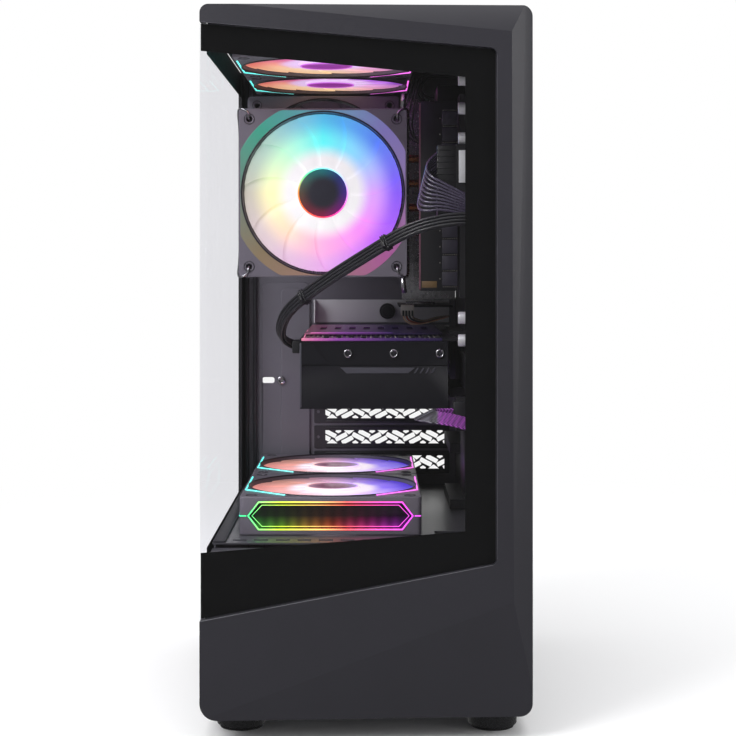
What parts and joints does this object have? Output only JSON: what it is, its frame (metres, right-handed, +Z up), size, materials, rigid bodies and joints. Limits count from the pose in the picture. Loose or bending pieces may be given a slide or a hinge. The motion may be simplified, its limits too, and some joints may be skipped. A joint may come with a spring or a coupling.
{
  "type": "desktop computer tower",
  "caption": "Upright computer case with a slanted wrap-round glass front and lit fans, graphics card, cooler, memory and power supply inside.",
  "frame": {"origin": "middle of the case's footprint, on the surface it stands on", "axes": "+X to the right seen from the front, +Y to the back, +Z up"},
  "size_m": [0.21, 0.316, 0.465],
  "materials": {
    "black_steel": "satin powder coat",
    "bezel_plastic": "fine satin grain",
    "black_plastic": "matt",
    "clear_glass": "clear tempered",
    "fan_blade": "frosted, lit from the hub",
    "rubber": "matt",
    "foot_plastic": "semi-gloss",
    "bright_metal": "nickel plated",
    "fin_metal": "bare sheet",
    "board_black": "black solder mask",
    "cable_jacket": "sleeved wire",
    "filter_mesh": "fine nylon mesh"
  },
  "bodies": {
    "case": {"base_tray": "black_steel", "rear_panel": "black_steel", "front_frame": "black_steel", "motherboard_tray": "black_steel", "grommets": "rubber", "top_frame": "black_steel", "psu_shroud": "black_steel", "left_lower_panel": "black_steel", "feet": "foot_plastic", "foot_pads": "rubber", "front_bezel": "bezel_plastic", "front_glass": "clear_glass", "cpu_fin_stack": "fin_metal", "cpu_heat_pipes": "bright_metal", "cpu_fan_clips": "bright_metal", "motherboard": "board_black", "board_sockets": "black_plastic", "board_heatsinks": "fin_metal", "capacitors": "bright_metal", "ram_module_1": "board_black", "ram_module_2": "board_black", "rear_io_ports": "bright_metal", "slot_covers": "black_steel", "wifi_card": "bright_metal", "gpu_board": "board_black", "gpu_shroud": "black_plastic", "gpu_heatsink": "fin_metal", "gpu_bracket": "bright_metal", "psu_case": "black_steel", "power_inlet": "black_plastic", "drive_cage": "black_steel", "io_strip": "bezel_plastic", "front_ports": "bright_metal", "gpu_power_cable": "cable_jacket", "atx_cable": "cable_jacket", "board_cables": "cable_jacket", "top_front_fan_frame": "black_plastic", "top_rear_fan_frame": "black_plastic", "bottom_front_fan_frame": "black_plastic", "bottom_rear_fan_frame": "black_plastic", "rear_fan_frame": "black_plastic", "cpu_fan_frame": "black_plastic"},
    "top_front_fan_rotor": {"top_front_fan_rotor": "fan_blade"},
    "top_rear_fan_rotor": {"top_rear_fan_rotor": "fan_blade"},
    "bottom_front_fan_rotor": {"bottom_front_fan_rotor": "fan_blade"},
    "bottom_rear_fan_rotor": {"bottom_rear_fan_rotor": "fan_blade"},
    "rear_fan_rotor": {"rear_fan_rotor": "fan_blade"},
    "cpu_fan_rotor": {"cpu_fan_rotor": "fan_blade"},
    "gpu_front_fan": {"gpu_front_fan": "black_plastic"},
    "gpu_rear_fan": {"gpu_rear_fan": "black_plastic"},
    "psu_fan": {"psu_fan": "black_plastic"},
    "power_button": {"power_button": "bezel_plastic"},
    "psu_switch": {"psu_switch": "black_plastic"},
    "left_door": {"left_glass": "clear_glass", "left_glass_rail": "black_steel", "left_thumbscrews": "black_steel"},
    "right_door": {"right_panel": "black_steel", "right_thumbscrews": "black_steel"},
    "top_filter": {"top_filter": "filter_mesh"},
    "psu_filter": {"psu_filter": "filter_mesh"}
  },
  "joints": [
    {"name": "top_front_fan_rotor_spin", "type": "hinge", "parent": "case", "child": "top_front_fan_rotor", "pos_m": [-0.028, -0.06, 0.4489], "axis": [0, 0, 1], "continuous": true},
    {"name": "top_rear_fan_rotor_spin", "type": "hinge", "parent": "case", "child": "top_rear_fan_rotor", "pos_m": [-0.028, 0.06, 0.4489], "axis": [0, 0, 1], "continuous": true},
    {"name": "bottom_front_fan_rotor_spin", "type": "hinge", "parent": "case", "child": "bottom_front_fan_rotor", "pos_m": [-0.024, -0.047, 0.1359], "axis": [0, 0, 1], "continuous": true},
    {"name": "bottom_rear_fan_rotor_spin", "type": "hinge", "parent": "case", "child": "bottom_rear_fan_rotor", "pos_m": [-0.024, 0.073, 0.1359], "axis": [0, 0, 1], "continuous": true},
    {"name": "rear_fan_rotor_spin", "type": "hinge", "parent": "case", "child": "rear_fan_rotor", "pos_m": [-0.035, 0.1265, 0.3746], "axis": [0, 1, 0], "continuous": true},
    {"name": "cpu_fan_rotor_spin", "type": "hinge", "parent": "case", "child": "cpu_fan_rotor", "pos_m": [-0.0315, -0.0059, 0.3523], "axis": [0, 1, 0], "continuous": true},
    {"name": "gpu_front_fan_spin", "type": "hinge", "parent": "case", "child": "gpu_front_fan", "pos_m": [0.00475, -0.00243, 0.208], "axis": [0, 0, 1], "continuous": true},
    {"name": "gpu_rear_fan_spin", "type": "hinge", "parent": "case", "child": "gpu_rear_fan", "pos_m": [0.00475, 0.08925, 0.208], "axis": [0, 0, 1], "continuous": true},
    {"name": "psu_fan_spin", "type": "hinge", "parent": "case", "child": "psu_fan", "pos_m": [0, 0.069, 0.03], "axis": [0, 0, 1], "continuous": true},
    {"name": "power_button_press", "type": "slide", "parent": "case", "child": "power_button", "axis": [0, 0, -1], "range_m": [0, 0.0015], "stiffness_N_per_m": 400},
    {"name": "psu_switch_rock", "type": "hinge", "parent": "case", "child": "psu_switch", "pos_m": [0.052, 0.133, 0.043], "axis": [1, 0, 0], "range_deg": [-16, 0]},
    {"name": "left_door_slide", "type": "slide", "parent": "case", "child": "left_door", "axis": [0, 1, 0], "range_m": [0, 0.32]},
    {"name": "right_door_slide", "type": "slide", "parent": "case", "child": "right_door", "axis": [0, 1, 0], "range_m": [0, 0.32]},
    {"name": "top_filter_lift", "type": "slide", "parent": "case", "child": "top_filter", "axis": [0, 0, 1], "range_m": [0, 0.05]},
    {"name": "psu_filter_slide", "type": "slide", "parent": "case", "child": "psu_filter", "axis": [0, 1, 0], "range_m": [0, 0.17]}
  ]
}
